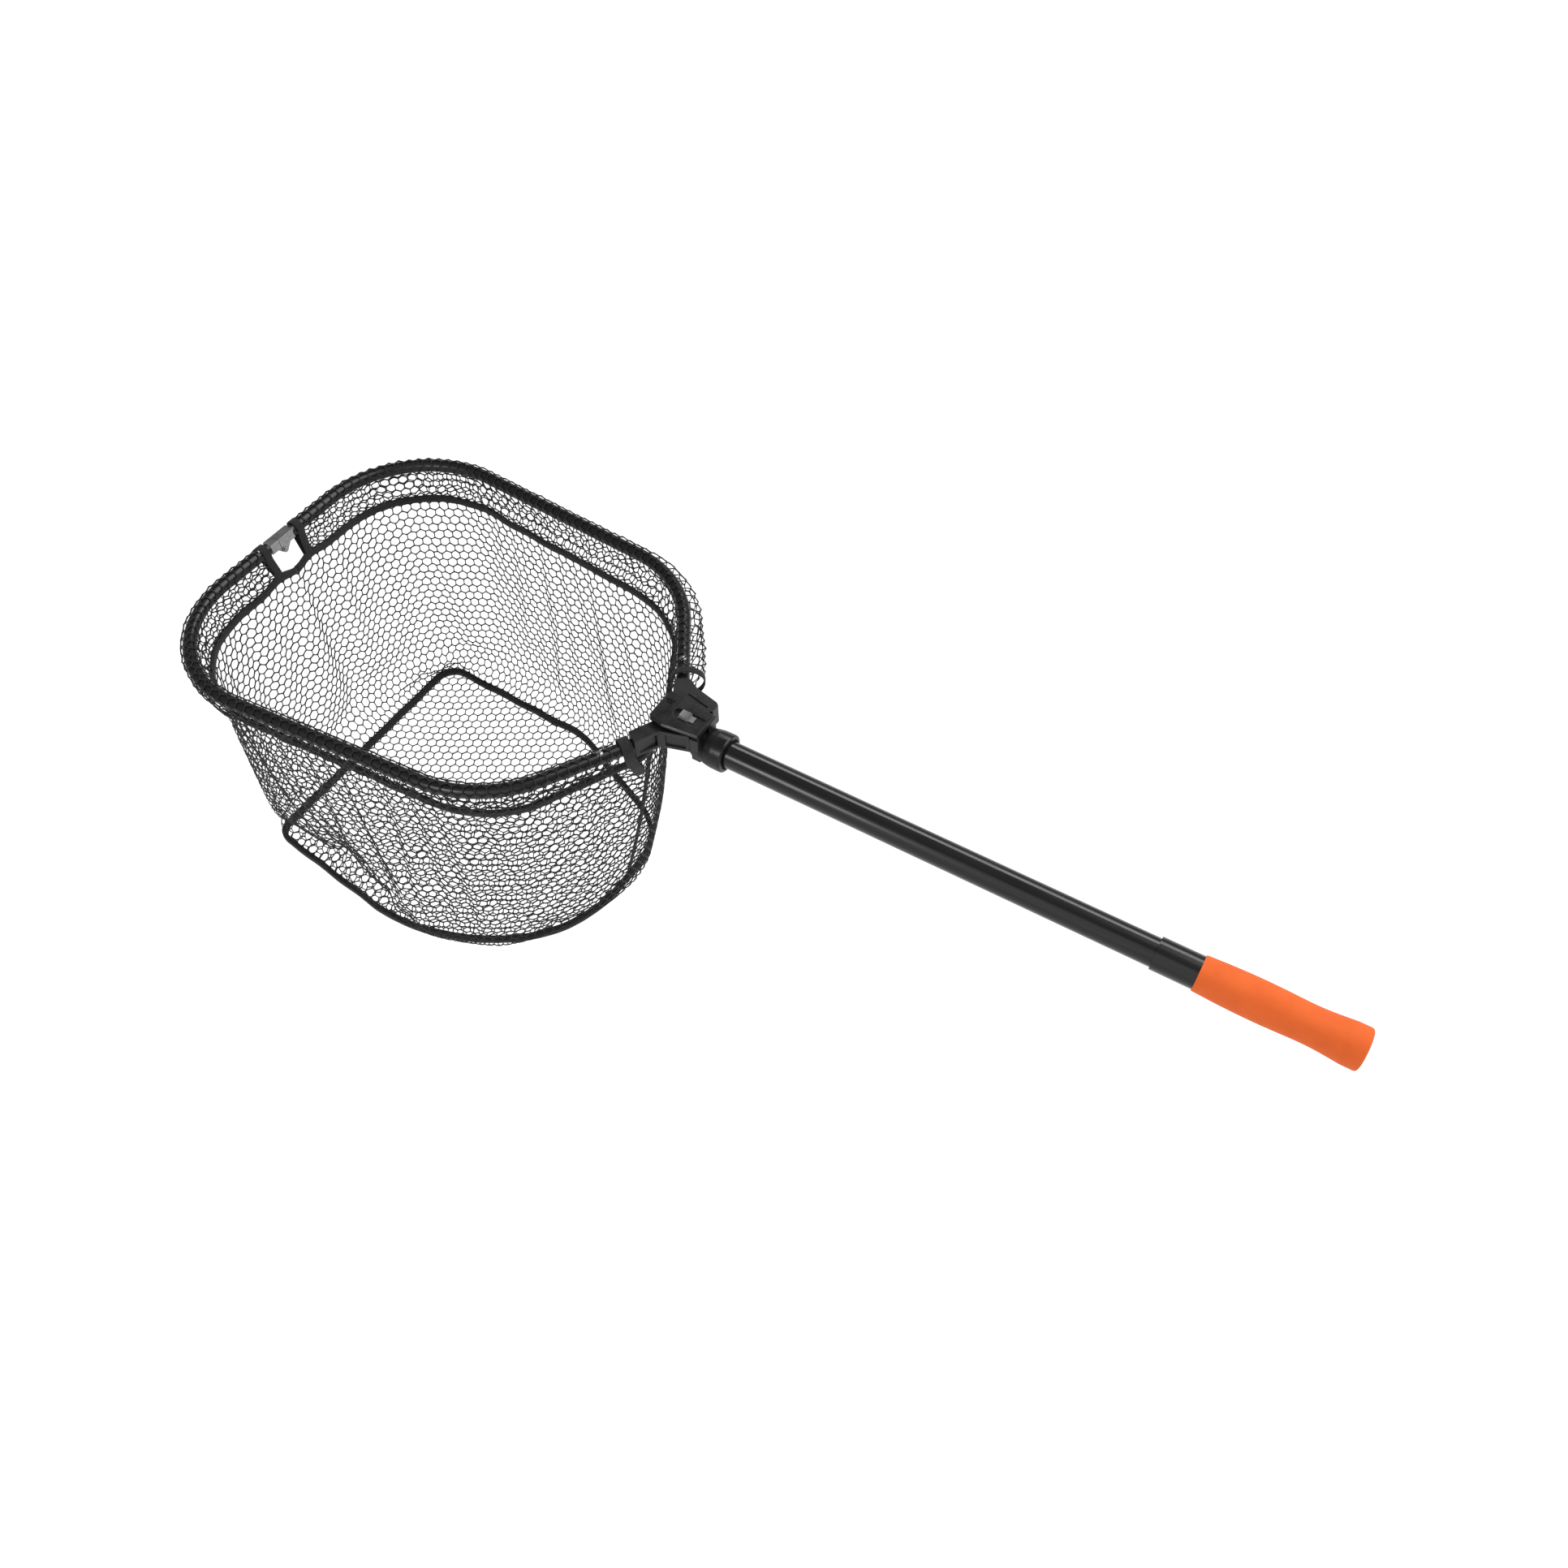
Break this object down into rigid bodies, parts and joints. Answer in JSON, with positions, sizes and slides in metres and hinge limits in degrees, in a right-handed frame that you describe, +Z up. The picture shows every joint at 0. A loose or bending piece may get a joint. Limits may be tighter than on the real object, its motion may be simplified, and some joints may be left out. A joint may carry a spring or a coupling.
{
  "type": "landing net",
  "caption": "Folding hand landing net: hinged rounded hoop halves on a lockable hub, deep mesh bag, short telescopic handle with foam grip.",
  "frame": {"origin": "on the handle's axis, at the middle of the cylindrical land round the butt of the grip", "axes": "+X out of the butt along the handle, away from the hoop; +Z up, out of the hoop's open side; +Y to the hoop's right half"},
  "size_m": [1.0956, 0.377, 0.3266],
  "materials": {
    "black_tube": "gloss black anodised",
    "hub_plastic": "fine moulded texture",
    "slider_plastic": "satin grey",
    "inner_plastic": "matt",
    "seal_rubber": "matt",
    "grip_foam": "closed-cell foam",
    "bright_steel": "zinc plated",
    "netting": "knitted hexagonal mesh",
    "tape": "woven binding tape"
  },
  "bodies": {
    "handle": {"outer_tube": "black_tube", "mouth_bush": "inner_plastic", "grip": "grip_foam", "end_cap": "inner_plastic"},
    "cam": {"cam_ring": "inner_plastic"},
    "hub": {"shaft": "black_tube", "cam_core": "inner_plastic", "cam_screw": "bright_steel", "hub_body": "hub_plastic", "collar_seal": "seal_rubber", "hub_cover": "hub_plastic", "hub_nose": "hub_plastic", "cover_screws": "bright_steel", "collar_screw": "bright_steel", "fold_pin": "bright_steel", "lock_spring": "bright_steel", "net_skirt": "netting", "upper_tape": "tape", "net_wall": "netting", "lower_tape": "tape", "net_floor": "netting", "rear_seam_tape": "tape"},
    "lock": {"lock_slider": "slider_plastic", "lock_bolt": "inner_plastic"},
    "left_half": {"left_arm": "hub_plastic", "left_tube": "black_tube", "left_arm_rivet": "bright_steel", "left_leaf": "bright_steel", "left_leaf_rivet": "bright_steel", "left_front_loop": "tape", "left_rear_loop": "tape"},
    "right_half": {"right_arm": "hub_plastic", "right_tube": "black_tube", "right_arm_rivet": "bright_steel", "right_leaf": "bright_steel", "right_leaf_rivet": "bright_steel", "hinge_pin": "bright_steel", "right_front_loop": "tape", "right_rear_loop": "tape"}
  },
  "joints": [
    {"name": "telescope", "type": "slide", "parent": "handle", "child": "cam", "axis": [1, 0, 0], "range_m": [0, 0.095]},
    {"name": "twist_lock", "type": "hinge", "parent": "cam", "child": "hub", "pos_m": [-0.12, 0, 0], "axis": [1, 0, 0], "range_deg": [-90, 90]},
    {"name": "lock_slide", "type": "slide", "parent": "hub", "child": "lock", "axis": [1, 0, 0], "range_m": [0, 0.008], "stiffness_N_per_m": 300, "springref_m": -0.004, "deforming": ["lock_spring"]},
    {"name": "left_fold", "type": "hinge", "parent": "hub", "child": "left_half", "pos_m": [-0.5975, 0, -0.002], "axis": [1, 0, 0], "range_deg": [0, 88], "deforming": ["net_skirt", "upper_tape", "net_wall", "lower_tape", "net_floor", "rear_seam_tape"]},
    {"name": "right_fold", "type": "hinge", "parent": "hub", "child": "right_half", "pos_m": [-0.5975, 0, -0.002], "axis": [-1, 0, 0], "range_deg": [0, 88]}
  ]
}
